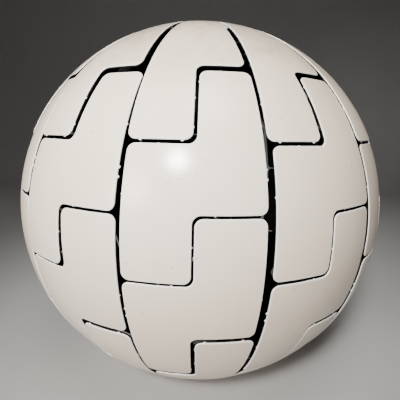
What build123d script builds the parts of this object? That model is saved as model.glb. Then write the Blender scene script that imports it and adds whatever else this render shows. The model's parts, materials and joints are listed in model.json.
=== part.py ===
from build123d import *
import math
import os

# Ball-shaped pendant lamp shade that opens like a lantern.
# Eleven gores run from pole to pole.  Each gore has a top petal, an upper
# panel, a lower panel and a bottom petal, parted by stepped (Z-shaped) seams.
# The upper panels swing on ribs hinged to the top carrier, the lower panels on
# ribs hinged to the bottom carrier, and the bottom carrier slides up to open.
# Millimetres and degrees.  +Z is up.  The origin is on the axis of the hanging
# nipple, where it leaves its nut.  The middle of the front gore faces -Y.

# ---------------------------------------------------------------- dimensions
N = 11                  # gores
PITCH = 360.0 / N       # one gore
HALF = PITCH / 2
R = 175.0               # outside radius of the closed ball
T = 2.0                 # shell thickness
ZC = -165.0             # height of the ball's centre
FRONT = -90.0           # azimuth of gore 1

# stepped seams: latitude on the left half and on the right half of a gore
LAT_L1, LAT_R1 = 22.8, 41.9     # petal / upper panel
LAT_L2, LAT_R2 = -7.4, 7.4      # upper panel / lower panel
LAT_TIP = 77.8                  # polar end of a petal

# half gaps at the edges of a moulding, mm
G_MID = 0.7             # Z seam between the two panels, all edges
G_PET_L = 0.75          # petal and panel, narrow left seam
G_PAN_R1 = 1.9          # panel's top edge on the right half
G_PET_R1 = 2.1          # petal's edge on the right half
G_PET_V = 1.6           # petal's vertical step edge
G_SEAM = 2.0            # panel's long edges to the gore seam
G_PSEAM_L = 1.1         # petal's left long edge
G_PSEAM_R = 4.3         # petal's right long edge
RAD_CONVEX = 5.5
RAD_CONCAVE = 6.0

# linkage, in the plane of a gore: radius from the axis, height from the centre
H_R, H_Z = 68.0, 147.0  # rib hinge on a carrier
E_R = 164.0             # rib pivot at the equator
RIB_Y0, RIB_Y1 = 2.0, 6.0
BAR_W = 8.0
EYE_R = 4.5
PIN_R = 1.5
RUN = 0.05              # running clearance on radius
ARC_IN, ARC_OUT = 160.5, 165.5
ARC_LAT0, ARC_LAT1 = 2.0, 35.0
BOSS_LATS = (14.0, 31.0)
BOSS_R, PEG_R = 4.0, 2.0
SWING = 18.0            # rib swing, closed to open
TRAVEL = 2 * math.hypot(E_R - H_R, H_Z) * (
    math.sin(math.atan2(H_Z, E_R - H_R))
    - math.sin(math.atan2(H_Z, E_R - H_R) - math.radians(SWING)))

# carriers and centre parts, heights from the centre
PLATE_Z0, PLATE_Z1 = 152.5, 155.5
PLATE_R = 73.0
TOP_HUB_R = 13.0
RING_IN = 32.0          # open bottom ring
CAP_R = 36.0
NIPPLE_R, NIPPLE_BORE = 5.0, 3.5
NIPPLE_ROOT = 4.45      # thread root, inside the plate, nut and holder
EYELET_AT = 54.0        # radius of the lightening holes and of the cord eyelets
SCREW_R = 1.5
BOSS_RADII = (44.0, 58.0)

os.makedirs("parts", exist_ok=True)


# ------------------------------------------------------------------- helpers
def on_arc(radius, lat):
    a = math.radians(lat)
    return (radius * math.cos(a), ZC + radius * math.sin(a))


def cross(p, u, q, v):
    # meeting point of the line p + s*u with the line q + t*v
    d = u[0] * v[1] - u[1] * v[0]
    s = ((q[0] - p[0]) * v[1] - (q[1] - p[1]) * v[0]) / d
    return (p[0] + s * u[0], p[1] + s * u[1])


def side(edge, left):
    # an edge of a gore sector seen from above: ("seam", inset) or ("mid", y)
    kind, value = edge
    if kind == "mid":
        return (0.0, value), (1.0, 0.0)
    h = math.radians(HALF)
    if left:
        return (value * math.sin(h), value * math.cos(h)), (math.cos(h), -math.sin(h))
    return (value * math.sin(h), -value * math.cos(h)), (math.cos(h), math.sin(h))


def wedge(left_edge, right_edge):
    p, u = side(left_edge, True)
    q, v = side(right_edge, False)
    apex = cross(p, u, q, v) if abs(u[0] * v[1] - u[1] * v[0]) > 1e-6 else p
    far = 260.0
    return [apex, (p[0] + far * u[0], p[1] + far * u[1]),
            (q[0] + far * v[0], q[1] + far * v[1])]


def degrees_of(gap):
    return math.degrees(gap / R)


def band(lat0, lat1, left_edge, right_edge, extra=0.0):
    # a strip of the spherical shell between two latitudes, cut to a sector;
    # extra makes it thicker both ways, for use as a cutter
    with BuildPart() as strip:
        with BuildSketch(Plane.XZ):
            with BuildLine():
                outer = CenterArc((0, ZC), R + extra, 180 - lat1, lat1 - lat0)
                inner = CenterArc((0, ZC), R - T - extra, 180 - lat1, lat1 - lat0)
                Line(outer @ 0, inner @ 0)
                Line(outer @ 1, inner @ 1)
            make_face()
        revolve(axis=Axis.Z)
        with BuildSketch(Plane.XY.offset(ZC - R - 5)):
            with BuildLine():
                Polyline(*wedge(left_edge, right_edge), close=True)
            make_face()
        extrude(amount=2 * R + 10, mode=Mode.INTERSECT)
    return strip.part


def turned(part, k):
    return part.rotate(Axis.Z, FRONT + k * PITCH)


MIRRORED = Axis((0, 0, ZC), (1, 0, 0))   # half turn that takes top to bottom

# ------------------------------------------------------------ shell mouldings
dm, dl = degrees_of(G_MID), degrees_of(G_PET_L)
seam_l, seam_r = ("seam", G_SEAM), ("seam", G_SEAM)
panel_top_l = LAT_L1 - dl
panel_top_r = LAT_R1 - degrees_of(G_PAN_R1)
panel_low_l = LAT_L2 + dm
panel_low_r = LAT_R2 + dm

panel_sector = band(panel_low_l, panel_top_r, seam_l, seam_r)
cut_low = band(LAT_L2 - 3, panel_low_r, ("mid", -G_MID), ("seam", -6), extra=3)
cut_high = band(panel_top_l, LAT_R1 + 3, ("seam", -6), ("mid", G_MID), extra=3)


def is_corner(e):
    return e.length < 1.6 * T


with BuildPart() as panel_shell:
    add(panel_sector)
    add(cut_low, mode=Mode.SUBTRACT)
    add(cut_high, mode=Mode.SUBTRACT)
    corners = panel_shell.edges().filter_by(is_corner)
    inside = corners.filter_by(
        lambda e: abs(e.center().Y) < 3 and 12 < e.center().Z - ZC < 75)
    outside = corners.filter_by(
        lambda e: not (abs(e.center().Y) < 3 and 12 < e.center().Z - ZC < 75))
    fillet(inside, radius=RAD_CONCAVE)
    fillet(outside, radius=RAD_CONVEX)

# the panel with its two moulded sockets for the pegs of a rib
y_rib = (RIB_Y0 + RIB_Y1) / 2
with BuildPart() as panel_moulding:
    add(panel_shell.part)
    for lat in BOSS_LATS:
        a = math.radians(lat)
        foot = Plane(origin=(ARC_OUT * math.cos(a), y_rib, ZC + ARC_OUT * math.sin(a)),
                     z_dir=(math.cos(a), 0, math.sin(a)))
        with BuildSketch(foot):
            Circle(BOSS_R)
        extrude(amount=R - T - ARC_OUT + 0.4)
        with BuildSketch(foot):
            Circle(PEG_R)
        extrude(amount=5.0, mode=Mode.SUBTRACT)

petal_left_low = LAT_L1 + dl
petal_right_low = LAT_R1 + degrees_of(G_PET_R1)
petal_sector = band(petal_left_low, LAT_TIP, ("seam", G_PSEAM_L), ("seam", G_PSEAM_R))
cut_tail = band(LAT_L1 - 3, petal_right_low, ("mid", -G_PET_V), ("seam", -6), extra=3)

with BuildPart() as petal_shell:
    add(petal_sector)
    add(cut_tail, mode=Mode.SUBTRACT)
    corners = petal_shell.edges().filter_by(is_corner)
    inside = corners.filter_by(
        lambda e: abs(e.center().Y) < 4 and 100 < e.center().Z - ZC < 130)
    outside = corners.filter_by(lambda e: e.center().Z - ZC < 90
                                or (e.center().Y > 20 and e.center().Z - ZC < 140))
    fillet(inside, radius=RAD_CONCAVE)
    fillet(outside, radius=RAD_CONVEX)

# petal with its two screw bosses, which stand on the carrier's plate
with BuildPart() as petal_moulding:
    add(petal_shell.part)
    for r in BOSS_RADII:
        z_in = math.sqrt((R - T) ** 2 - r ** 2)
        with BuildSketch(Plane.XY.offset(ZC + PLATE_Z1)):
            with Locations((r, 0)):
                Circle(3.5)
        extrude(amount=z_in - PLATE_Z1 + 0.6)
        with BuildSketch(Plane.XY.offset(ZC + PLATE_Z1)):
            with Locations((r, 0)):
                Circle(SCREW_R)
        extrude(amount=6.0, mode=Mode.SUBTRACT)

# ---------------------------------------------------------------- rib mouldings
# straight bar from the carrier hinge to the equator pivot, with a bowed outer
# member that follows the shell, a strut, and two pegs for the panel
bar_len = math.hypot(E_R - H_R, H_Z)
ux, uz = (E_R - H_R) / bar_len, -H_Z / bar_len
nx, nz = -uz, ux                      # outward normal of the bar
hw = BAR_W / 2


def along(s, off):
    return (H_R + s * ux + off * nx, ZC + H_Z + s * uz + off * nz)


arc_top = on_arc((ARC_IN + ARC_OUT) / 2, ARC_LAT1)
strut_s = 92.0
with BuildPart() as rib_blank:
    with BuildSketch(Plane.XZ.offset(-RIB_Y0)):
        with BuildLine():
            Polyline(along(0, -hw), along(bar_len, -hw), along(bar_len, hw),
                     along(0, hw), close=True)
        make_face()
        with Locations((H_R, ZC + H_Z)):
            Circle(EYE_R)
        with Locations((E_R, ZC)):
            Circle(5.0)
        with BuildLine():
            outer = CenterArc((0, ZC), ARC_OUT, ARC_LAT0, ARC_LAT1 - ARC_LAT0)
            inner = CenterArc((0, ZC), ARC_IN, ARC_LAT0, ARC_LAT1 - ARC_LAT0)
            Line(outer @ 0, inner @ 0)
            Line(outer @ 1, inner @ 1)
        make_face()
        with Locations(arc_top):
            Circle((ARC_OUT - ARC_IN) / 2)
        with BuildLine():
            Polyline(along(strut_s - 3, 0), along(strut_s + 3, 0),
                     (arc_top[0] + 1.2, arc_top[1] - 2.0),
                     (arc_top[0] - 1.6, arc_top[1] + 1.6), close=True)
        make_face()
    extrude(amount=-(RIB_Y1 - RIB_Y0))
    for lat in BOSS_LATS:
        a = math.radians(lat)
        foot = Plane(origin=(ARC_OUT * math.cos(a), y_rib, ZC + ARC_OUT * math.sin(a)),
                     z_dir=(math.cos(a), 0, math.sin(a)))
        with BuildSketch(foot.offset(-1.0)):
            Circle(PEG_R)
        extrude(amount=5.5)
    with BuildSketch(Plane.XZ.offset(-RIB_Y0 + 1)):
        with Locations((H_R, ZC + H_Z)):
            Circle(PIN_R + RUN)
    extrude(amount=-(RIB_Y1 - RIB_Y0 + 2), mode=Mode.SUBTRACT)

# upper ribs carry the pivot stub that crosses to the lower rib
with BuildPart() as upper_rib_moulding:
    add(rib_blank.part)
    with BuildSketch(Plane.XZ.offset(-RIB_Y0 - 0.5)):
        with Locations((E_R, ZC)):
            Circle(1.4)
    extrude(amount=RIB_Y1 + RIB_Y0 + 1.7)

# lower ribs carry the slot in which that stub runs
with BuildPart() as lower_rib_moulding:
    add(rib_blank.part)
    with BuildSketch(Plane.XZ.offset(-RIB_Y0)):
        with Locations((E_R + 0.2, ZC + 1.6)):
            SlotCenterToCenter(3.6, 12.0, rotation=82)
    extrude(amount=-(RIB_Y1 - RIB_Y0))
    with BuildSketch(Plane.XZ.offset(-RIB_Y0 + 1)):
        with Locations((E_R + 0.3, ZC + 1.7)):
            SlotCenterToCenter(3.6, 4.6, rotation=82)
    extrude(amount=-(RIB_Y1 - RIB_Y0 + 2), mode=Mode.SUBTRACT)

# -------------------------------------------------------------------- carriers
# dished plate with eleven clevises for the ribs and screw holes for the petals
with BuildPart() as carrier_blank:
    with BuildSketch(Plane.XY.offset(ZC + PLATE_Z0)):
        Circle(PLATE_R)
        for k in range(N):
            a = math.radians(FRONT + (k + 0.5) * PITCH)
            with Locations((EYELET_AT * math.cos(a), EYELET_AT * math.sin(a))):
                Circle(6.5, mode=Mode.SUBTRACT)
    extrude(amount=PLATE_Z1 - PLATE_Z0)
    for k in range(N):
        ang = FRONT + k * PITCH
        a = math.radians(ang)
        gore = Plane(origin=(0, 0, 0), x_dir=(math.cos(a), math.sin(a), 0),
                     z_dir=(math.sin(a), -math.cos(a), 0))
        for y0 in (RIB_Y0 - 0.3 - 3.0, RIB_Y1 + 0.3):
            with BuildSketch(gore.offset(-y0)):
                with Locations((H_R, ZC + H_Z)):
                    Circle(EYE_R)
                with Locations((H_R, ZC + (H_Z + PLATE_Z0) / 2 + 0.25)):
                    Rectangle(2 * EYE_R, PLATE_Z0 - H_Z + 0.5)
            extrude(amount=-3.0)
        with BuildSketch(gore.offset(2.4)):
            with Locations((H_R, ZC + H_Z)):
                Circle(PIN_R)
        extrude(amount=-13.0, mode=Mode.SUBTRACT)
        with BuildSketch(Plane.XY.offset(ZC + PLATE_Z0 - 1)):
            for r in BOSS_RADII:
                with Locations((r * math.cos(a), r * math.sin(a))):
                    Circle(SCREW_R + 0.2)
        extrude(amount=PLATE_Z1 - PLATE_Z0 + 2, mode=Mode.SUBTRACT)

with BuildPart() as top_carrier:
    add(carrier_blank.part)
    with BuildSketch(Plane.XY.offset(ZC + PLATE_Z0)):
        Circle(TOP_HUB_R)
    extrude(amount=160.0 - PLATE_Z0)
    with BuildSketch(Plane.XY.offset(ZC + PLATE_Z1)):
        Circle(28.0)
        Circle(25.0, mode=Mode.SUBTRACT)
    extrude(amount=3.0)
    with BuildSketch(Plane.XY.offset(ZC + PLATE_Z0 - 1)):
        Circle(NIPPLE_ROOT)
    extrude(amount=12.0, mode=Mode.SUBTRACT)
    with BuildSketch(Plane.XY.offset(ZC + PLATE_Z0 - 1)):
        with Locations((21, 0), (-21, 0)):
            Circle(1.5)
    extrude(amount=6.0, mode=Mode.SUBTRACT)

with BuildPart() as bottom_blank:
    add(carrier_blank.part)
    with BuildSketch(Plane.XY.offset(ZC + PLATE_Z1)):
        Circle(37.0)
        Circle(RING_IN, mode=Mode.SUBTRACT)
    extrude(amount=10.0)
    with BuildSketch(Plane.XY.offset(ZC + PLATE_Z0 - 1)):
        Circle(RING_IN)
    extrude(amount=20.0, mode=Mode.SUBTRACT)

# -------------------------------------------------------- parts on the centre
BACK = Axis((0, 0, ZC), (0, 1, 0))       # half turn that takes the top carrier to the bottom

with BuildPart() as bottom_carrier:
    add(bottom_blank.part.rotate(BACK, 180))

with BuildPart() as top_petals:
    for k in range(N):
        add(turned(petal_moulding.part, k))

with BuildPart() as bottom_petals:
    for k in range(N):
        add(turned(petal_moulding.part.rotate(MIRRORED, 180), k))

# hinge pins: one steel pin through each clevis and rib
with BuildPart() as pin_blank:
    with BuildSketch(Plane.XZ.offset(-(RIB_Y0 - 3.3 - 0.6))):
        with Locations((H_R, ZC + H_Z)):
            Circle(PIN_R)
    extrude(amount=-(RIB_Y1 - RIB_Y0 + 6.6 + 1.2))

with BuildPart() as upper_hinge_pins:
    for k in range(N):
        add(turned(pin_blank.part, k))

with BuildPart() as lower_hinge_pins:
    for k in range(N):
        add(turned(pin_blank.part.rotate(MIRRORED, 180), k))

# petal screws: pan head under the plate, shank in the boss
with BuildPart() as screw_blank:
    for r in BOSS_RADII:
        with BuildSketch(Plane.XY.offset(ZC + PLATE_Z0)):
            with Locations((r, 0)):
                Circle(SCREW_R)
        extrude(amount=PLATE_Z1 - PLATE_Z0 + 5.0)
        with BuildSketch(Plane.XY.offset(ZC + PLATE_Z0 - 2.0)):
            with Locations((r, 0)):
                Circle(2.9)
        extrude(amount=2.0)
        with BuildSketch(Plane.XY.offset(ZC + PLATE_Z0 - 2.0)):
            with Locations((r, 0)):
                Rectangle(3.6, 0.8)
                Rectangle(0.8, 3.6)
        extrude(amount=1.0, mode=Mode.SUBTRACT)

with BuildPart() as top_petal_screws:
    for k in range(N):
        add(turned(screw_blank.part, k))

with BuildPart() as bottom_petal_screws:
    for k in range(N):
        add(turned(screw_blank.part.rotate(MIRRORED, 180), k))

# top cap: recessed dish that closes the pole between the petals' tips
with BuildPart() as top_cap:
    with BuildSketch(Plane.XZ):
        with BuildLine():
            z_rim = math.sqrt(R ** 2 - CAP_R ** 2)
            Polyline((NIPPLE_R + 0.1, ZC + 160.0), (22.0, ZC + 160.0),
                     (30.0, ZC + z_rim - 2.0), (CAP_R, ZC + z_rim - 2.0),
                     (CAP_R, ZC + z_rim), (29.0, ZC + z_rim + 1.0),
                     (21.0, ZC + 162.0), (NIPPLE_R + 0.1, ZC + 162.0), close=True)
        make_face()
    revolve(axis=Axis.Z)

# threaded hanging nipple, hollow for the supply cord; its free end is the
# full thread diameter
with BuildPart() as hanging_nipple:
    with BuildSketch(Plane.XY.offset(ZC + 138.0)):
        Circle(NIPPLE_ROOT)
    extrude(amount=27.0)
    with BuildSketch(Plane.XY.offset(ZC + 165.0)):
        Circle(NIPPLE_R)
    extrude(amount=12.0)
    chamfer(hanging_nipple.faces().sort_by(Axis.Z)[-1].outer_wire().edges(), length=0.6)
    with BuildSketch(Plane.XY.offset(ZC + 137.0)):
        Circle(NIPPLE_BORE)
    extrude(amount=42.0, mode=Mode.SUBTRACT)

# jam nut on the nipple, above the top cap
with BuildPart() as nipple_nut:
    with BuildSketch(Plane.XY.offset(ZC + 162.0)):
        RegularPolygon(8.0, 6)
        Circle(NIPPLE_ROOT, mode=Mode.SUBTRACT)
    extrude(amount=3.0)

# lamp holder: cap on the nipple, skirt with the screw shell's bore, contact
with BuildPart() as holder_cap:
    with BuildSketch(Plane.XZ):
        with BuildLine():
            Polyline((NIPPLE_ROOT, ZC + PLATE_Z0), (12.0, ZC + PLATE_Z0), (19.0, ZC + 146.0),
                     (20.5, ZC + 130.0), (18.0, ZC + 130.0), (17.0, ZC + 143.0),
                     (NIPPLE_ROOT, ZC + 143.0), close=True)
        make_face()
    revolve(axis=Axis.Z)

with BuildPart() as holder_skirt:
    with BuildSketch(Plane.XZ):
        with BuildLine():
            Polyline((13.6, ZC + 94.0), (17.5, ZC + 94.0), (18.5, ZC + 118.0), (21.5, ZC + 119.0),
                     (21.5, ZC + 125.0), (20.5, ZC + 126.0), (20.5, ZC + 130.0),
                     (0, ZC + 130.0), (0, ZC + 128.6), (9.0, ZC + 128.6),
                     (9.0, ZC + 126.0), (13.6, ZC + 126.0), close=True)
        make_face()
    revolve(axis=Axis.Z)

with BuildPart() as holder_contact:
    with BuildSketch(Plane.XY.offset(ZC + 127.4)):
        Circle(6.0)
    extrude(amount=1.2)
    with BuildSketch(Plane.XY.offset(ZC + 126.2)):
        Circle(3.0)
    extrude(amount=1.2)

# bottom ring: trim collar on the open lower pole
with BuildPart() as bottom_ring:
    with BuildSketch(Plane.XZ):
        with BuildLine():
            z_rim = math.sqrt(R ** 2 - CAP_R ** 2)
            Polyline((RING_IN - 1.5, ZC - z_rim), (CAP_R, ZC - z_rim),
                     (CAP_R, ZC - z_rim + 2.0), (RING_IN - 0.1, ZC - z_rim + 2.0),
                     (RING_IN - 0.1, ZC - 159.0), (RING_IN - 1.5, ZC - 159.0), close=True)
        make_face()
    revolve(axis=Axis.Z)

# pull-cord eyelets, in two opposite lightening holes of the bottom carrier,
# each in line with the open seam between two petals
with BuildPart() as cord_eyelets:
    for k in (2, 8):
        a = math.radians(FRONT + (k + 0.5) * PITCH)
        at = (EYELET_AT * math.cos(a), EYELET_AT * math.sin(a))
        for z0, z1, r in ((-PLATE_Z1 - 1.0, -PLATE_Z1, 7.8),
                          (-PLATE_Z1, -PLATE_Z0, 6.5),
                          (-PLATE_Z0, -PLATE_Z0 + 1.0, 7.8)):
            with BuildSketch(Plane.XY.offset(ZC + z0)):
                with Locations(at):
                    Circle(r)
                    Circle(2.0, mode=Mode.SUBTRACT)
            extrude(amount=z1 - z0)


# --------------------------------------------------------------------- output
def save(part, name):
    part.label = name
    export_step(part, "parts/" + name + ".step")


for k in range(N):
    tag = "%02d" % (k + 1)
    with BuildPart() as upper_panel:
        add(turned(panel_moulding.part, k))
    save(upper_panel.part, "upper_panel_" + tag)
    with BuildPart() as lower_panel:
        add(turned(panel_moulding.part.rotate(MIRRORED, 180), k))
    save(lower_panel.part, "lower_panel_" + tag)
    with BuildPart() as upper_rib:
        add(turned(upper_rib_moulding.part, k))
    save(upper_rib.part, "upper_rib_" + tag)
    with BuildPart() as lower_rib:
        add(turned(lower_rib_moulding.part.rotate(MIRRORED, 180), k))
    save(lower_rib.part, "lower_rib_" + tag)

top_petals.part.label = "top_petals"
export_step(top_petals.part, "parts/top_petals.step")
bottom_petals.part.label = "bottom_petals"
export_step(bottom_petals.part, "parts/bottom_petals.step")
top_carrier.part.label = "top_carrier"
export_step(top_carrier.part, "parts/top_carrier.step")
bottom_carrier.part.label = "bottom_carrier"
export_step(bottom_carrier.part, "parts/bottom_carrier.step")
upper_hinge_pins.part.label = "upper_hinge_pins"
export_step(upper_hinge_pins.part, "parts/upper_hinge_pins.step")
lower_hinge_pins.part.label = "lower_hinge_pins"
export_step(lower_hinge_pins.part, "parts/lower_hinge_pins.step")
top_petal_screws.part.label = "top_petal_screws"
export_step(top_petal_screws.part, "parts/top_petal_screws.step")
bottom_petal_screws.part.label = "bottom_petal_screws"
export_step(bottom_petal_screws.part, "parts/bottom_petal_screws.step")
top_cap.part.label = "top_cap"
export_step(top_cap.part, "parts/top_cap.step")
hanging_nipple.part.label = "hanging_nipple"
export_step(hanging_nipple.part, "parts/hanging_nipple.step")
nipple_nut.part.label = "nipple_nut"
export_step(nipple_nut.part, "parts/nipple_nut.step")
holder_cap.part.label = "holder_cap"
export_step(holder_cap.part, "parts/holder_cap.step")
holder_skirt.part.label = "holder_skirt"
export_step(holder_skirt.part, "parts/holder_skirt.step")
holder_contact.part.label = "holder_contact"
export_step(holder_contact.part, "parts/holder_contact.step")
bottom_ring.part.label = "bottom_ring"
export_step(bottom_ring.part, "parts/bottom_ring.step")
cord_eyelets.part.label = "cord_eyelets"
export_step(cord_eyelets.part, "parts/cord_eyelets.step")
print("slide travel mm", round(TRAVEL, 3), "ratio rad/m", round(math.radians(SWING) / TRAVEL * 1000, 5))
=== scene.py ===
import json
import math
import random

import bpy
import numpy as np
from mathutils import Matrix, Vector
from mathutils.geometry import delaunay_2d_cdt


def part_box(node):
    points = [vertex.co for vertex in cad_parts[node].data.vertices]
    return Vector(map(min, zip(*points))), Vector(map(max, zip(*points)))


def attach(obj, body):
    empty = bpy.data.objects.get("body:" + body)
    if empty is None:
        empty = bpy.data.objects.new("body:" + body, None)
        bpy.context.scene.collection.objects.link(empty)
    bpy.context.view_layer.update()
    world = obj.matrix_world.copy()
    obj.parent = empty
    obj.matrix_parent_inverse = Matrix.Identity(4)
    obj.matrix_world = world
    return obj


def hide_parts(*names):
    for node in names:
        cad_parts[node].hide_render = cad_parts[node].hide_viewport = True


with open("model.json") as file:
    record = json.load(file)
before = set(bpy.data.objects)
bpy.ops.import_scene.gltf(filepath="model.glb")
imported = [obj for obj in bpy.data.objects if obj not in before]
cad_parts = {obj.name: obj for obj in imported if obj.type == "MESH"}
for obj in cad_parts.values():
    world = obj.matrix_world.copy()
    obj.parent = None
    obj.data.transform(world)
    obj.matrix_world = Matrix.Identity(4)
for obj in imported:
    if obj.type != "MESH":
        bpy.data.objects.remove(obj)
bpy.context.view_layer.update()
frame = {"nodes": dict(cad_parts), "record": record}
record = frame["record"]

# ------------------------------------------------------------------ the frame
lo_top, hi_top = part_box("top_petals")
lo_bot, hi_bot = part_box("bottom_petals")
ZC = (hi_top.z + lo_bot.z) / 2 * 1000.0
cloud = np.array([v.co for v in frame["nodes"]["upper_panel_01"].data.vertices], float) * 1000
R = float(np.sqrt(((cloud - [0, 0, ZC]) ** 2).sum(1)).max())
T = 2.0
N = 11
PITCH = 360.0 / N
HALF = PITCH / 2
FRONT = -90.0

LAT_L1, LAT_R1 = 22.8, 41.9
LAT_L2, LAT_R2 = -7.4, 7.4
LAT_TIP = 77.8
G_MID, G_PET_L, G_PAN_R1, G_PET_R1 = 0.95, 0.9, 1.9, 2.1
G_PET_V, G_SEAM, G_PSEAM_L, G_PSEAM_R = 1.6, 2.0, 1.1, 4.3
RAD_CONVEX, RAD_CONCAVE = 5.5, 6.0
ARC_OUT = 165.5
PLATE_Z1 = 155.5
Y_RIB = 4.0

rad, deg = math.radians, math.degrees


def gap_deg(mm):
    return deg(mm / R)


# ------------------------------------------------------- outlines of mouldings
# An outline is a closed run of edges on the sphere.  Each edge is a function
# t -> (lon, lat) in degrees from the gore's middle, run anticlockwise as seen
# from outside; radii holds the corner radius, in mm, at each edge's end.
def plane_lon(lat, mm):
    return deg(math.asin(max(-1.0, min(1.0, mm / (R * math.cos(rad(lat)))))))


def seam(sign, inset):
    return lambda lat: sign * (HALF - plane_lon(lat, inset))


def mid(mm):
    return lambda lat: plane_lon(lat, mm)


def along_lat(lat, f0, f1):
    a, b = f0(lat), f1(lat)
    return lambda t: (a + (b - a) * t, lat)


def along_lon(f, lat0, lat1):
    return lambda t: (f(lat0 + (lat1 - lat0) * t), lat0 + (lat1 - lat0) * t)


def panel_edges():
    low_l, top_l = LAT_L2 + gap_deg(G_MID), LAT_L1 - gap_deg(G_PET_L)
    low_r, top_r = LAT_R2 + gap_deg(G_MID), LAT_R1 - gap_deg(G_PAN_R1)
    left, right = seam(-1, G_SEAM), seam(1, G_SEAM)
    west, east = mid(-G_MID), mid(G_MID)
    edges = [along_lat(low_l, left, west), along_lon(west, low_l, low_r),
             along_lat(low_r, west, right), along_lon(right, low_r, top_r),
             along_lat(top_r, right, east), along_lon(east, top_r, top_l),
             along_lat(top_l, east, left), along_lon(left, top_l, low_l)]
    v, c = RAD_CONVEX, RAD_CONCAVE
    return edges, [v, c, v, v, v, c, v, v]


def petal_edges(shoulder=None):
    low_l, low_r = LAT_L1 + gap_deg(G_PET_L), LAT_R1 + gap_deg(G_PET_R1)
    left, right, step = seam(-1, G_PSEAM_L), seam(1, G_PSEAM_R), mid(-G_PET_V)
    edges = [along_lat(low_l, left, step), along_lon(step, low_l, low_r),
             along_lat(low_r, step, right), along_lon(right, low_r, LAT_TIP),
             along_lat(LAT_TIP, right, left), along_lon(left, LAT_TIP, low_l)]
    v, c = RAD_CONVEX, RAD_CONCAVE
    if shoulder is None:
        return edges, [v, c, v, 1.0, 1.0, v]
    wide = seam(1, 1.2)
    edges[3:5] = [along_lon(right, low_r, shoulder), along_lat(shoulder, right, wide),
                  along_lon(wide, shoulder, LAT_TIP), along_lat(LAT_TIP, wide, left)]
    return edges, [v, c, v, 1.1, 1.1, 1.0, 1.0, v]


def unit(lon, lat):
    return np.array([math.cos(rad(lat)) * math.cos(rad(lon)),
                     math.cos(rad(lat)) * math.sin(rad(lon)), math.sin(rad(lat))])


def trace(edges, radii, step_mm=1.3):
    """Points of the outline on the unit sphere, evenly spaced, corners rounded."""
    n = len(edges)
    fine = []
    for e in edges:
        p = np.array([unit(*e(t)) for t in np.linspace(0, 1, 241)])
        fine.append(p)
    cut = []
    corners = []
    for i in range(n):
        a, b = fine[i], fine[(i + 1) % n]
        c = a[-1]
        da = a[-6] - c
        db = b[5] - c
        da /= np.linalg.norm(da)
        db /= np.linalg.norm(db)
        half = math.acos(max(-1, min(1, float(da @ db)))) / 2
        r = radii[i] / R
        back = r / math.tan(half)
        axis = (da + db) / np.linalg.norm(da + db)
        centre = c + axis * (r / math.sin(half))
        cut.append(back)
        corners.append((c, da, db, centre, r, back))
    pts = []
    for i in range(n):
        a = fine[i]
        seg = np.linalg.norm(np.diff(a, axis=0), axis=1)
        s = np.concatenate([[0], np.cumsum(seg)])
        s0, s1 = cut[i - 1], s[-1] - cut[i]
        k = max(2, int(round((s1 - s0) * R / step_mm)))
        for q in np.linspace(s0, s1, k + 1):
            pts.append([np.interp(q, s, a[:, j]) for j in range(3)])
        c, da, db, centre, r, back = corners[i]
        p0, p1 = c + da * back, c + db * back
        v0, v1 = p0 - centre, p1 - centre
        turn = math.acos(max(-1, min(1, float(v0 @ v1) / (np.linalg.norm(v0) * np.linalg.norm(v1)))))
        m = max(3, int(round(turn * r * R / (step_mm * 0.55))))
        for q in range(1, m):
            w = q / m
            v = (math.sin((1 - w) * turn) * v0 + math.sin(w * turn) * v1) / math.sin(turn)
            pts.append(list(centre + v))
    pts = np.array(pts)
    return pts / np.linalg.norm(pts, axis=1)[:, None]


# ------------------------------------------------------------- mesh collector
class Mould:
    def __init__(self):
        self.v, self.n, self.f, self.m, self.painted_rim_highlight = [], [], [], [], []

    def vert(self, p, n, painted_rim_highlight=0.0):
        self.v.append([float(x) for x in p])
        ln = math.sqrt(sum(float(x) ** 2 for x in n)) or 1.0
        self.n.append([float(x) / ln for x in n])
        self.painted_rim_highlight.append(painted_rim_highlight)
        return len(self.v) - 1

    def face(self, idx, mat=0):
        self.f.append(list(idx))
        self.m.append(mat)

    def merged(self, other, turn=None):
        base = len(self.v)
        v = np.array(other.v)
        n = np.array(other.n)
        if turn is not None:
            v = v @ turn.T
            n = n @ turn.T
        self.v += v.tolist()
        self.n += n.tolist()
        self.painted_rim_highlight += list(other.painted_rim_highlight)
        self.f += [[base + i for i in f] for f in other.f]
        self.m += list(other.m)


EDGE_R, BACK_R, SUPPORT = 0.75, 0.25, 1.9
WALL_FROM = 5           # profile step from which the moulding is the dark inner colour


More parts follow.
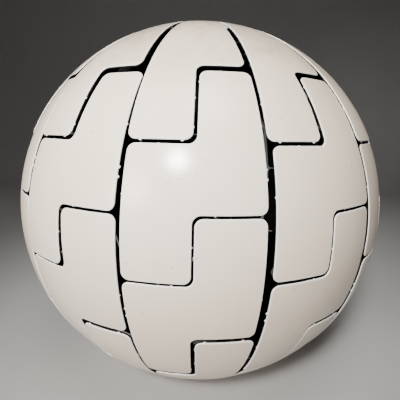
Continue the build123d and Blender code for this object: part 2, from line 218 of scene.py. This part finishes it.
def shell(outline):
    """Closed shell moulding over an outline, with rounded rims."""
    mould = Mould()
    k = len(outline)
    tang = np.roll(outline, -1, axis=0) - np.roll(outline, 1, axis=0)
    tang /= np.linalg.norm(tang, axis=1)[:, None]
    out = np.cross(tang, outline)
    out /= np.linalg.norm(out, axis=1)[:, None]
    # the fourth value of each profile step weights the painted highlight laid on the rounded rim
    profile = [(SUPPORT, R, 0.0, 0.0), (EDGE_R, R, 0.0, 0.55)]
    for a in (22.5, 45.0, 67.5, 90.0):
        profile.append((EDGE_R * (1 - math.sin(rad(a))), R - EDGE_R * (1 - math.cos(rad(a))), a, 1.0))
    for a in (90.0, 135.0, 180.0):
        profile.append((BACK_R * (1 - math.sin(rad(a))), R - T + BACK_R * (1 + math.cos(rad(a))), a, 0.8))
    profile.append((SUPPORT, R - T, 180.0, 0.0))
    rings = []
    for d, r, a, painted_rim_highlight in profile:
        p = outline - out * (d / R)
        p /= np.linalg.norm(p, axis=1)[:, None]
        nrm = p * math.cos(rad(a)) + out * math.sin(rad(a))
        rings.append([mould.vert(p[i] * r, nrm[i], painted_rim_highlight) for i in range(k)])
    for j in range(len(rings) - 1):
        for i in range(k):
            i2 = (i + 1) % k
            mould.face((rings[j + 1][i], rings[j + 1][i2], rings[j][i2], rings[j][i]),
                       1 if j >= WALL_FROM else 0)
    # surface inside the first ring, triangulated over a regular net
    p = outline - out * (SUPPORT / R)
    p /= np.linalg.norm(p, axis=1)[:, None]
    lon = np.degrees(np.arctan2(p[:, 1], p[:, 0]))
    lat = np.degrees(np.arcsin(p[:, 2]))
    flat = 0.75
    bx, by = R * np.radians(lon) * flat, R * np.radians(lat)
    net = 4.0
    gx = np.arange(math.floor(bx.min() / net), math.ceil(bx.max() / net) + 1) * net
    gy = np.arange(math.floor(by.min() / net), math.ceil(by.max() / net) + 1) * net
    inner = []
    for y in gy:
        for x in gx:
            if ((bx - x) ** 2 + (by - y) ** 2).min() < 1.7 ** 2:
                continue
            x1, y1, x2, y2 = bx, by, np.roll(bx, -1), np.roll(by, -1)
            hit = ((y1 > y) != (y2 > y)) & (x < (x2 - x1) * (y - y1) / (y2 - y1 + 1e-12) + x1)
            if hit.sum() % 2:
                inner.append((x, y))
    coords = [Vector((float(a), float(b))) for a, b in zip(bx, by)] + [Vector(q) for q in inner]
    got = delaunay_2d_cdt(coords, [], [list(range(k))], 1, 1e-7)
    new_co, _, faces, orig = got[0], got[1], got[2], got[3]
    front, back = {}, {}
    for j, o in enumerate(orig):
        src = o[0] if o else None
        if src is not None and src < k:
            front[j], back[j] = rings[0][src], rings[-1][src]
        else:
            x, y = new_co[j]
            u = unit(deg(x / flat / R), deg(y / R))
            front[j] = mould.vert(u * R, u, 0.0)
            back[j] = mould.vert(u * (R - T), -u, 0.0)
    for f in faces:
        a, b, c = (new_co[f[0]], new_co[f[1]], new_co[f[2]])
        if (b.x - a.x) * (c.y - a.y) - (b.y - a.y) * (c.x - a.x) < 0:
            f = list(reversed(f))
        mould.face([front[i] for i in f], 0)
        mould.face([back[i] for i in reversed(f)], 1)
    return mould


def tube(mould, base, axis, length, outer, inner, depth, mat=1, sides=28):
    """Socket boss: starts at base, runs along axis, and is open at the base."""
    a = np.array(axis, float)
    a /= np.linalg.norm(a)
    x = np.cross(a, [0.0, 0.0, 1.0] if abs(a[2]) < 0.9 else [1.0, 0.0, 0.0])
    x /= np.linalg.norm(x)
    y = np.cross(a, x)
    base = np.array(base, float)
    c = 0.35

    def ring(s, r, n_r, n_a):
        return [mould.vert(base + a * s + (x * math.cos(t) + y * math.sin(t)) * r,
                           (x * math.cos(t) + y * math.sin(t)) * n_r + a * n_a)
                for t in np.arange(sides) * 2 * math.pi / sides]
    rings = [ring(length, outer, 1, 0), ring(c, outer, 1, -0.2), ring(0, outer - c, 0.2, -1),
             ring(0, inner + c, -0.2, -1), ring(c, inner, -1, -0.2), ring(depth, inner, -1, 0)]
    for j in range(len(rings) - 1):
        for i in range(sides):
            i2 = (i + 1) % sides
            mould.face((rings[j][i], rings[j][i2], rings[j + 1][i2], rings[j + 1][i]), mat)
    floor = ring(depth, inner, 0, -1)
    mould.face(list(floor), mat)


def nib(mould, lon, lat, out_dir, size=(0.8, 0.6, 0.4)):
    """Vestige of a moulding gate on an edge: a small flattened bead, whose vertices carry the full weight of the
    painted edge highlight.
    """
    u = unit(lon, lat)
    east = np.array([-math.sin(rad(lon)), math.cos(rad(lon)), 0.0])
    north = np.cross(u, east)
    o = east * out_dir[0] + north * out_dir[1]
    w = east * -out_dir[1] + north * out_dir[0]
    c = u * (R - 0.95)
    rows, sides = 5, 10
    idx = []
    for i in range(rows + 1):
        th = math.pi * i / rows
        row = []
        for j in range(sides if 0 < i < rows else 1):
            ph = 2 * math.pi * j / sides
            d = np.array([math.sin(th) * math.cos(ph), math.sin(th) * math.sin(ph), math.cos(th)])
            pos = c + w * d[0] * size[0] + u * d[1] * size[2] + o * d[2] * size[1]
            row.append(mould.vert(pos, w * d[0] / size[0] + u * d[1] / size[2] + o * d[2] / size[1], 1.0))
        idx.append(row)
    for i in range(rows):
        a, b = idx[i], idx[i + 1]
        for j in range(sides):
            j2 = (j + 1) % sides
            if i == 0:
                q = (a[0], b[j], b[j2])
            elif i == rows - 1:
                q = (a[j], b[0], a[j2])
            else:
                q = (a[j], b[j], b[j2], a[j2])
            va, vb, vc = (np.array(mould.v[q[0]]), np.array(mould.v[q[1]]), np.array(mould.v[q[2]]))
            if np.cross(vb - va, vc - va) @ ((va + vb + vc) / 3 - c) < 0:
                q = tuple(reversed(q))
            mould.face(q, 0)


edges, radii = panel_edges()
panel_mould = shell(trace(edges, radii))
for lat in (14.0, 31.0):
    ax = np.array([math.cos(rad(lat)), 0, math.sin(rad(lat))])
    tube(panel_mould, ax * ARC_OUT + np.array([0, Y_RIB, 0]), ax, R - T - ARC_OUT + 0.5, 4.0, 2.02, 5.0)
right = seam(1, G_SEAM)
left = seam(-1, G_SEAM)
for lon, lat, o in ((right(26.8), 26.8, (1, 0)),
                    (mid(G_MID)(38.0), 38.0, (-1, 0)), (4.4, LAT_R2 + gap_deg(G_MID), (0, -1)),
                    (left(11.5), 11.5, (-1, 0)), (mid(-G_MID)(1.1), 1.1, (1, 0)),
                    (-8.4, LAT_L1 - gap_deg(G_PET_L), (0, 1))):
    nib(panel_mould, lon, lat, o)
for lat in (17.2, 15.1):
    nib(panel_mould, right(lat), lat, (0.8, 0.6), (1.1, 1.0, 0.45))



def petal(shoulder=None):
    edges, radii = petal_edges(shoulder)
    m = shell(trace(edges, radii, 1.4))
    for r in (44.0, 58.0):
        z_in = math.sqrt((R - T) ** 2 - r * r)
        tube(m, (r, 0, PLATE_Z1), (0, 0, 1), z_in - PLATE_Z1 + 0.6, 3.5, 1.52, 6.0)
    for lon, lat, o in PETAL_NIBS:
        nib(m, lon, lat, o, (1.1, 0.9, 0.45) if o == (0, -1) else (0.8, 0.6, 0.4))
    return m


PETAL_NIBS = ((-3.0, LAT_L1 + gap_deg(G_PET_L), (0, -1)), (-12.8, LAT_L1 + gap_deg(G_PET_L), (0, -1)),
                    (mid(-G_PET_V)(33.1), 33.1, (1, 0)), (mid(-G_PET_V)(26.0), 26.0, (1, 0)),
                    (seam(-1, G_PSEAM_L)(32.0), 32.0, (-1, 0)))
petal_mould = petal()
# the front petal's right edge steps out over the seam near the pole
front_petal = petal(62.6)


# ------------------------------------------------------------------ placement
def rot(axis, angle):
    return np.array(Matrix.Rotation(rad(angle), 3, Vector(axis)))


def place(mould, k, flip=False, play=(0.0, 0.0, 0.0, 0.0, 0.0, 0.0)):
    """Gore k.  play: shift in longitude and latitude, spin about the middle
    (degrees), then tilt of the top edge and of the right edge outward (degrees)
    and lift outward (mm): how loosely that moulding sits on its rib."""
    out = Mould()
    m = np.eye(3)
    if flip:
        m = rot((1, 0, 0), 180)
    out.merged(mould, m)
    v, n = np.array(out.v), np.array(out.n)
    centre = v.mean(0)
    cu = centre / np.linalg.norm(centre)
    dlon, dlat, spin, tilt_top, tilt_right, lift = play
    east = np.cross([0, 0, 1], cu)
    east /= np.linalg.norm(east)
    north = np.cross(cu, east)
    c = cu * R
    s = rot(cu, spin)
    tp = rot(east, tilt_top)
    tr = rot(north, -tilt_right)
    q = tr @ tp @ s
    v = (v - c) @ q.T + c + cu * lift
    n = n @ q.T
    g = rot((0, 0, 1), FRONT + k * PITCH + dlon) @ rot((0, 1, 0), -dlat)
    out.v, out.n = (v @ g.T).tolist(), (n @ g.T).tolist()
    return out


def build(name, mould, mats, body, replaces=()):
    mesh = bpy.data.meshes.new(name)
    v = np.array(mould.v) / 1000.0
    v[:, 2] += ZC / 1000.0
    mesh.from_pydata(v.tolist(), [], mould.f)
    for m in mats:
        mesh.materials.append(m)
    mesh.polygons.foreach_set("material_index", np.array(mould.m, np.int32))
    mesh.polygons.foreach_set("use_smooth", np.ones(len(mould.f), bool))
    painted_rim_highlight_att = mesh.attributes.new("painted_rim_highlight", "FLOAT", "POINT")
    painted_rim_highlight_att.data.foreach_set("value", np.array(mould.painted_rim_highlight, np.float32))
    mesh.update()
    mesh.normals_split_custom_set_from_vertices(np.array(mould.n, float).tolist())
    obj = bpy.data.objects.new(name, mesh)
    bpy.context.scene.collection.objects.link(obj)
    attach(obj, body)
    if replaces:
        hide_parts(*replaces)
    return obj


# ------------------------------------------------------------------ materials
def nodes_of(name):
    mat = bpy.data.materials.new(name)
    mat.use_nodes = True
    nt = mat.node_tree
    bsdf = nt.nodes["Principled BSDF"]
    return mat, nt, bsdf


def node(nt, kind, **inputs):
    n = nt.nodes.new(kind)
    for key, value in inputs.items():
        key = key.replace("_", " ")
        n.inputs[key].default_value = value
    return n


def noise(nt, co, scale, detail=4.0, rough=0.55, distort=0.0):
    n = node(nt, "ShaderNodeTexNoise", Scale=scale, Detail=detail, Roughness=rough, Distortion=distort)
    nt.links.new(co, n.inputs["Vector"])
    return n.outputs["Fac"]


def ramp(nt, fac, stops):
    n = nt.nodes.new("ShaderNodeValToRGB")
    el = n.color_ramp.elements
    while len(el) > 1:
        el.remove(el[-1])
    el[0].position, el[0].color = stops[0][0], (*stops[0][1], 1)
    for pos, col in stops[1:]:
        e = el.new(pos)
        e.color = (*col, 1)
    nt.links.new(fac, n.inputs["Fac"])
    return n.outputs["Color"]


def grey(v):
    return (v, v, v)


def maths(nt, op, a, b=None, clamp=False):
    n = nt.nodes.new("ShaderNodeMath")
    n.operation = op
    n.use_clamp = clamp
    for i, x in enumerate((a, b)):
        if x is None:
            continue
        if hasattr(x, "links"):
            nt.links.new(x, n.inputs[i])
        else:
            n.inputs[i].default_value = x
    return n.outputs[0]


def mixc(nt, fac, a, b, blend="MIX"):
    n = nt.nodes.new("ShaderNodeMix")
    n.data_type = "RGBA"
    n.blend_type = blend
    for name, x in (("Factor", fac),):
        if hasattr(x, "links"):
            nt.links.new(x, n.inputs[0])
        else:
            n.inputs[0].default_value = x
    for i, x in ((6, a), (7, b)):
        if hasattr(x, "links"):
            nt.links.new(x, n.inputs[i])
        else:
            n.inputs[i].default_value = (*x, 1)
    return n.outputs[2]


def bump(nt, bsdf, height, strength, distance, base=None):
    n = nt.nodes.new("ShaderNodeBump")
    n.inputs["Strength"].default_value = strength
    n.inputs["Distance"].default_value = distance
    nt.links.new(height, n.inputs["Height"])
    if base is not None:
        nt.links.new(base, n.inputs["Normal"])
    nt.links.new(n.outputs["Normal"], bsdf.inputs["Normal"])
    return n.outputs["Normal"]


def shell_material(name, tone=1.0, seed=0.0):
    """Satin off-white moulded plastic: faint warm and cool clouding, brownish
    dust near the top, small dark specks, scuffs and a fine moulded grain, with a painted highlight on the rims."""
    mat, nt, b = nodes_of(name)
    tc = nt.nodes.new("ShaderNodeTexCoord")
    mp = nt.nodes.new("ShaderNodeMapping")
    mp.inputs["Location"].default_value = (seed * 0.37, seed * 0.21, seed * 0.53)
    nt.links.new(tc.outputs["Object"], mp.inputs["Vector"])
    co = mp.outputs["Vector"]
    sep = nt.nodes.new("ShaderNodeSeparateXYZ")
    nt.links.new(tc.outputs["Object"], sep.inputs["Vector"])
    base = ramp(nt, noise(nt, co, 9.0, 3.0), [
        (0.30, (0.835 * tone, 0.705 * tone, 0.560 * tone)),
        (0.50, (0.865 * tone, 0.740 * tone, 0.600 * tone)),
        (0.72, (0.850 * tone, 0.755 * tone, 0.650 * tone))])
    # finer mottling, as on an aged satin moulding
    mott = ramp(nt, noise(nt, co, 55.0, 5.0, 0.6), [(0.35, grey(0.972)), (0.62, grey(1.0))])
    base = mixc(nt, 1.0, base, mott, "MULTIPLY")
    # dust that has settled on the upper side
    height = maths(nt, "MULTIPLY_ADD", sep.outputs["Z"], 1.0)
    up = nt.nodes.new("ShaderNodeMapRange")
    up.inputs["From Min"].default_value = ZC / 1000 + R / 1000 * 0.50
    up.inputs["From Max"].default_value = ZC / 1000 + R / 1000 * 1.02
    up.interpolation_type = "SMOOTHSTEP"
    nt.links.new(sep.outputs["Z"], up.inputs["Value"])
    cloud = ramp(nt, noise(nt, co, 21.0, 6.0, 0.62, 0.4), [(0.36, grey(0.0)), (0.58, grey(1.0))])
    fine = ramp(nt, noise(nt, co, 160.0, 3.0, 0.7), [(0.30, grey(0.55)), (0.60, grey(1.0))])
    dust = maths(nt, "MULTIPLY", maths(nt, "MULTIPLY", up.outputs["Result"], cloud), fine)
    veil = maths(nt, "MULTIPLY", up.outputs["Result"], 0.24)
    amount = maths(nt, "ADD", maths(nt, "MULTIPLY", dust, 0.80), veil, clamp=True)
    base = mixc(nt, amount, base, (0.40, 0.32, 0.225))
    # small dark specks
    vo = node(nt, "ShaderNodeTexVoronoi", Scale=115.0, Randomness=1.0)
    nt.links.new(co, vo.inputs["Vector"])
    spot = ramp(nt, vo.outputs["Distance"], [(0.0, grey(1.0)), (0.052, grey(1.0)), (0.078, grey(0.0))])
    pick = ramp(nt, noise(nt, co, 47.0, 1.0), [(0.575, grey(0.0)), (0.590, grey(1.0))])
    base = mixc(nt, maths(nt, "MULTIPLY", maths(nt, "MULTIPLY", spot, pick), 0.85), base, (0.16, 0.13, 0.11))
    # faint rubbed scuffs
    wv = noise(nt, co, 33.0, 8.0, 0.75, 1.6)
    scuff = ramp(nt, wv, [(0.498, grey(0.0)), (0.504, grey(1.0)), (0.508, grey(1.0)), (0.514, grey(0.0))])
    where = ramp(nt, noise(nt, co, 14.0, 1.0), [(0.62, grey(0.0)), (0.70, grey(1.0))])
    scuffs = maths(nt, "MULTIPLY", maths(nt, "MULTIPLY", scuff, where), 0.30)
    base = mixc(nt, scuffs, base, (0.62, 0.47, 0.44))
    # one rubbed place on the front panel
    rub = nt.nodes.new("ShaderNodeVectorMath")
    rub.operation = "DISTANCE"
    u = unit(FRONT - 4.9, 16.5) * (R / 1000.0)
    rub.inputs[1].default_value = (u[0], u[1], u[2] + ZC / 1000.0)
    nt.links.new(tc.outputs["Object"], rub.inputs[0])
    near = nt.nodes.new("ShaderNodeMapRange")
    near.inputs["From Min"].default_value = 0.015
    near.inputs["From Max"].default_value = 0.006
    nt.links.new(rub.outputs["Value"], near.inputs["Value"])
    mr = nt.nodes.new("ShaderNodeMapping")
    mr.inputs["Rotation"].default_value = (0.0, rad(35), 0.0)
    mr.inputs["Scale"].default_value = (1.0, 1.0, 5.0)
    nt.links.new(tc.outputs["Object"], mr.inputs["Vector"])
    strokes = ramp(nt, noise(nt, mr.outputs["Vector"], 210.0, 3.0, 0.6), [(0.52, grey(0.0)), (0.60, grey(1.0))])
    base = mixc(nt, maths(nt, "MULTIPLY", maths(nt, "MULTIPLY", strokes, near.outputs["Result"]), 0.45),
                base, (0.72, 0.40, 0.36))
    # rims and gate nibs are painted lighter: a painted highlight where the rounded edges catch the light
    at = nt.nodes.new("ShaderNodeAttribute")
    at.attribute_name = "painted_rim_highlight"
    base = mixc(nt, maths(nt, "MULTIPLY", at.outputs["Fac"], 0.75), base, (0.94, 0.915, 0.88))
    nt.links.new(base, b.inputs["Base Color"])
    rough = maths(nt, "ADD", maths(nt, "MULTIPLY", noise(nt, co, 75.0, 3.0), 0.10),
                  maths(nt, "MULTIPLY_ADD", amount, 0.25))
    rr = nt.nodes.new("ShaderNodeMath")
    rr.operation = "ADD"
    rr.inputs[1].default_value = 0.36
    nt.links.new(rough, rr.inputs[0])
    nt.links.new(rr.outputs[0], b.inputs["Roughness"])
    b.inputs["IOR"].default_value = 1.49
    b.inputs["Specular IOR Level"].default_value = 0.5
    b.inputs["Coat Weight"].default_value = 0.9
    b.inputs["Coat Roughness"].default_value = 0.21
    grain = maths(nt, "ADD", noise(nt, co, 900.0, 2.0), maths(nt, "MULTIPLY", noise(nt, co, 120.0, 2.0), 0.9))
    n1 = bump(nt, b, grain, 0.10, 0.00012)
    sink = noise(nt, co, 26.0, 1.0)
    bump(nt, b, sink, 0.10, 0.0009, n1)
    return mat


def plastic_material(name, c0, c1, rough, scale=40.0, grain=700.0, strength=0.12, sheen=0.25):
    mat, nt, b = nodes_of(name)
    tc = nt.nodes.new("ShaderNodeTexCoord")
    co = tc.outputs["Object"]
    base = ramp(nt, noise(nt, co, scale, 5.0, 0.6), [(0.30, c0), (0.68, c1)])
    scr = ramp(nt, noise(nt, co, scale * 5, 6.0, 0.7, 0.8), [(0.60, grey(0.0)), (0.72, grey(1.0))])
    lift = tuple(min(1.0, x * 1.5 + 0.01) for x in c1)
    base = mixc(nt, maths(nt, "MULTIPLY", scr, 0.25), base, lift)
    nt.links.new(base, b.inputs["Base Color"])
    r = maths(nt, "MULTIPLY_ADD", noise(nt, co, scale * 2, 4.0), 0.16)
    rr = nt.nodes.new("ShaderNodeMath")
    rr.operation = "ADD"
    rr.inputs[1].default_value = rough
    nt.links.new(r, rr.inputs[0])
    nt.links.new(rr.outputs[0], b.inputs["Roughness"])
    b.inputs["Specular IOR Level"].default_value = sheen
    bump(nt, b, noise(nt, co, grain, 3.0), strength, 0.00015)
    return mat


def metal_material(name, c0, c1, rough, stretch=(1, 1, 60)):
    mat, nt, b = nodes_of(name)
    tc = nt.nodes.new("ShaderNodeTexCoord")
    mp = nt.nodes.new("ShaderNodeMapping")
    mp.inputs["Scale"].default_value = stretch
    nt.links.new(tc.outputs["Object"], mp.inputs["Vector"])
    line = noise(nt, mp.outputs["Vector"], 60.0, 4.0, 0.6)
    nt.links.new(ramp(nt, line, [(0.3, c0), (0.7, c1)]), b.inputs["Base Color"])
    rr = nt.nodes.new("ShaderNodeMath")
    rr.operation = "MULTIPLY_ADD"
    rr.inputs[1].default_value = 0.22
    rr.inputs[2].default_value = rough
    nt.links.new(line, rr.inputs[0])
    nt.links.new(rr.outputs[0], b.inputs["Roughness"])
    b.inputs["Metallic"].default_value = 1.0
    bump(nt, b, line, 0.15, 0.0001)
    return mat


white = shell_material("shell_satin_white")
inner = plastic_material("shell_inner_charcoal", (0.007, 0.0065, 0.006), (0.013, 0.012, 0.011), 0.80, 30.0)
dark = plastic_material("carrier_charcoal", (0.012, 0.012, 0.0125), (0.020, 0.020, 0.021), 0.52, 35.0)
ribm = plastic_material("rib_charcoal", (0.006, 0.006, 0.006), (0.012, 0.012, 0.0115), 0.78, 45.0)
holder = plastic_material("holder_black", (0.012, 0.012, 0.012), (0.022, 0.021, 0.020), 0.34, 60.0, sheen=0.5)
eyelet = plastic_material("eyelet_grey", (0.30, 0.295, 0.285), (0.38, 0.372, 0.36), 0.36, 60.0, sheen=0.5)
steel = metal_material("pin_steel", (0.46, 0.46, 0.47), (0.62, 0.62, 0.63), 0.22)
zinc = metal_material("nipple_zinc", (0.50, 0.50, 0.48), (0.66, 0.66, 0.63), 0.26, (1, 1, 400))
brass = metal_material("contact_brass", (0.60, 0.43, 0.18), (0.74, 0.56, 0.27), 0.24)

# -------------------------------------------------------------------- pieces
random.seed(11)
# how each moulding sits on its rib or carrier: the closed ball's seams are
# uneven, and the petals' free ends stand a little proud of the panels' tops
PLAY_UPPER = {0: (-0.20, 0.0, 0.0, -0.6, 0.0, -0.4), 10: (-0.25, 0.0, -0.30, -0.9, 0.0, -0.4),
              1: (0.30, -0.22, 0.0, 0.0, -0.5, -0.3), 9: (-0.9, 0.0, 0.0, -0.4, -0.5, -0.2),
              2: (0.0, 0.0, 0.0, -0.2, 0.0, -0.2)}
PLAY_LOWER = {0: (-0.30, 0.0, 0.0, 0.0, 0.0, 0.0), 10: (0.02, -0.15, 0.05, 0.0, 0.0, -0.3),
              1: (0.30, -0.35, 0.0, 0.0, -0.9, -0.3), 9: (0.8, 0.0, 0.0, 0.0, 0.0, 0.0),
              2: (0.15, 0.0, 0.0, 0.0, 0.0, 0.3)}
PLAY_CROWN = {0: (-0.15, 0.0, 0.0, -0.3, 0.0, 0.4), 10: (0.0, 0.0, 0.0, -0.5, 0.8, 0.6),
              1: (-0.35, 0.1, 0.0, 0.0, 0.0, 0.0), 9: (-1.2, 0.0, 0.0, -0.3, 0.0, 0.4),
              2: (-0.8, 0.0, 0.0, -0.3, 0.0, 0.4)}
PLAY_FOOT = {0: (-0.1, -0.80, 0.0, 0.0, 0.0, 0.0), 10: (0.0, -0.80, 0.0, 0.0, 0.0, 0.0),
             1: (0.0, -1.1, 0.0, 0.0, 0.0, -0.4)}


def loose(table, k, tail):
    if k not in table:
        table[k] = (random.uniform(-0.25, 0.25), random.uniform(-0.08, 0.08), random.uniform(-0.25, 0.25),
                    tail * random.uniform(0.3, 0.8), 0.0, random.uniform(0.0, 0.5) * abs(tail))
    return table[k]


for k in range(N):
    tag = "%02d" % (k + 1)
    build("shell_upper_" + tag, place(panel_mould, k, False, loose(PLAY_UPPER, k, 0.0)), [white, inner],
          "upper_arm_" + tag, ["upper_panel_" + tag])
    build("shell_lower_" + tag, place(panel_mould, k, True, loose(PLAY_LOWER, k, 0.0)), [white, inner],
          "lower_arm_" + tag, ["lower_panel_" + tag])

crown, foot = Mould(), Mould()
for k in range(N):
    crown.merged(place(front_petal if k == 0 else petal_mould, k, False, loose(PLAY_CROWN, k, -1.0)))
    foot.merged(place(petal_mould, k, True, loose(PLAY_FOOT, k, 0.0)))
build("shell_top_petals", crown, [white, inner], "root", ["top_petals"])
build("shell_bottom_petals", foot, [white, inner], "lower_hub", ["bottom_petals"])

finish_of = {"top_carrier": dark, "bottom_carrier": dark, "top_cap": white, "bottom_ring": white,
             "hanging_nipple": zinc, "nipple_nut": zinc, "holder_cap": holder, "holder_skirt": holder,
             "holder_contact": brass, "cord_eyelets": eyelet, "upper_hinge_pins": steel,
             "lower_hinge_pins": steel, "top_petal_screws": steel, "bottom_petal_screws": steel}
for name, obj in frame["nodes"].items():
    m = finish_of.get(name, ribm if "_rib_" in name else None)
    if m is None:
        continue
    obj.data.materials.clear()
    obj.data.materials.append(m)

# ---------------------------------------------------------------------- stage
floor_z = (ZC - R) / 1000.0 - 0.001
bm_v, bm_f = [], []
profile = [(-1.2, 0.0)]
turn_r, back = 0.55, 1.15
for i in range(13):
    a = math.pi / 2 * i / 12
    profile.append((back + turn_r * math.sin(a), turn_r * (1 - math.cos(a))))
profile.append((back + turn_r, 2.2))
for y, z in profile:
    bm_v += [(-3.0, y, floor_z + z), (3.0, y, floor_z + z)]
for i in range(len(profile) - 1):
    bm_f.append((2 * i, 2 * i + 1, 2 * i + 3, 2 * i + 2))
sweep = bpy.data.meshes.new("studio_sweep")
sweep.from_pydata(bm_v, [], bm_f)
for p in sweep.polygons:
    p.use_smooth = True
floor = bpy.data.objects.new("studio_sweep", sweep)
bpy.context.scene.collection.objects.link(floor)
fm, fnt, fb = nodes_of("studio_paper")
ftc = fnt.nodes.new("ShaderNodeTexCoord")
fnt.links.new(ramp(fnt, noise(fnt, ftc.outputs["Object"], 3.0, 2.0), [(0.3, (0.43, 0.425, 0.42)), (0.7, (0.46, 0.455, 0.45))]),
              fb.inputs["Base Color"])
fb.inputs["Roughness"].default_value = 0.85
under = fnt.nodes.new("ShaderNodeNewGeometry")
clear = fnt.nodes.new("ShaderNodeBsdfTransparent")
both = fnt.nodes.new("ShaderNodeMixShader")
fnt.links.new(under.outputs["Backfacing"], both.inputs[0])
fnt.links.new(fb.outputs[0], both.inputs[1])
fnt.links.new(clear.outputs[0], both.inputs[2])
fnt.links.new(both.outputs[0], fnt.nodes["Material Output"].inputs["Surface"])
sweep.materials.append(fm)


def area(name, loc, target, size, power, colour, spread):
    light = bpy.data.lights.new(name, "AREA")
    light.shape = "DISK"
    light.size = size
    light.energy = power
    light.color = colour
    light.spread = spread
    o = bpy.data.objects.new(name, light)
    bpy.context.scene.collection.objects.link(o)
    o.location = loc
    o.rotation_euler = (Vector(target) - Vector(loc)).to_track_quat("-Z", "Y").to_euler()
    return o


C = Vector((0, 0, ZC / 1000.0))
LON_CAM, ELEV, ROLL, DIST, FOCAL = 1.04, 10.95, 1.19, 2.282, 367.8


def from_camera(lon, lat, dist):
    """A point seen from the ball's middle, lon to the right and lat up, degrees from the camera's own azimuth."""
    a = rad(FRONT + LON_CAM + lon)
    return C + Vector((math.cos(a) * math.cos(rad(lat)), math.sin(a) * math.cos(rad(lat)), math.sin(rad(lat)))) * dist


world = bpy.data.worlds.new("studio")
bpy.context.scene.world = world
world.use_nodes = True
bg = world.node_tree.nodes["Background"]
bg.inputs["Color"].default_value = (0.80, 0.79, 0.78, 1)
bg.inputs["Strength"].default_value = 0.05

# --------------------------------------------------------------------- camera
cam_data = bpy.data.cameras.new("camera")
cam_data.sensor_width = 36.0
cam_data.lens = FOCAL / 400.0 * 36.0
cam_data.clip_start = 0.01
cam = bpy.data.objects.new("camera", cam_data)
bpy.context.scene.collection.objects.link(cam)
cam.location = from_camera(0, ELEV, DIST * R / 1000.0)
aim = (C - cam.location).to_track_quat("-Z", "Y")
cam.rotation_euler = (aim.to_matrix().to_4x4() @ Matrix.Rotation(rad(ROLL), 4, "Z")).to_euler()
bpy.context.scene.camera = cam

# lights: x to the camera's right, y up, z towards the camera
view = aim.to_matrix()


def lamp(name, x, y, z, dist, size, light, colour, spread):
    """light: how strongly it lights the face turned to it.  spread: of its grid, in degrees."""
    d = (view @ Vector((x, y, z))).normalized()
    gap = dist - R / 1000.0
    half = rad(spread) / 2
    grid = math.tan(half) / (math.tan(half) - half)
    area(name, C + d * dist, C, size, light * math.pi * gap * gap / grid, colour, rad(spread))


lamp("key", -0.20, 0.36, 0.91, 1.10, 0.16, 10.5, (1.0, 0.985, 0.955), 40)
lamp("left", -0.60, 0.10, 0.80, 1.30, 0.50, 4.8, (1.0, 0.985, 0.96), 46)
lamp("top", 0.05, 0.80, 0.60, 1.50, 0.60, 2.0, (1.0, 0.975, 0.94), 140)
